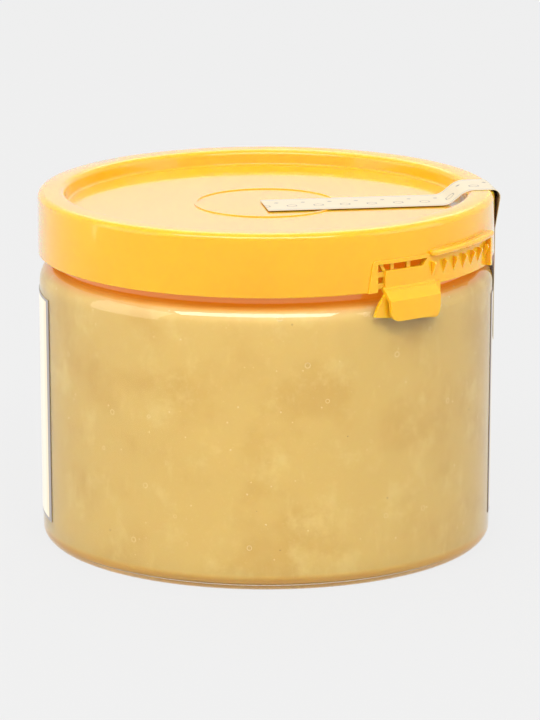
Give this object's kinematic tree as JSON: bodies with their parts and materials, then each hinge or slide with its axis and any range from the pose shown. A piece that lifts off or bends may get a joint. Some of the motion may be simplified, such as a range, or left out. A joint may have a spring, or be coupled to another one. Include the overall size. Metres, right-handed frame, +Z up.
{
  "type": "honey jar",
  "caption": "Clear round plastic tub filled with creamed honey, with a press-on tamper-evident lid, a wrap label round the back and a seal strip over the lid.",
  "frame": {"origin": "centre of the base, on the plane that the tub stands on", "axes": "+Z up along the tub's axis, -Y to the clear front, +X to the side with the finger grip and the seal strip"},
  "size_m": [0.1204, 0.119, 0.0924],
  "materials": {
    "clear_tub": "clear glossy moulded plastic",
    "honey": "opaque creamed honey, smooth against the wall",
    "lid": "smooth glossy moulded plastic, yellow orange",
    "label": "satin printed film, cream with a thin border",
    "seal_strip": "satin printed paper, cream with thin borders"
  },
  "bodies": {
    "root": {"jar": "clear_tub", "honey": "honey", "lid": "lid", "label": "label", "seal_strip": "seal_strip"}
  },
  "joints": []
}
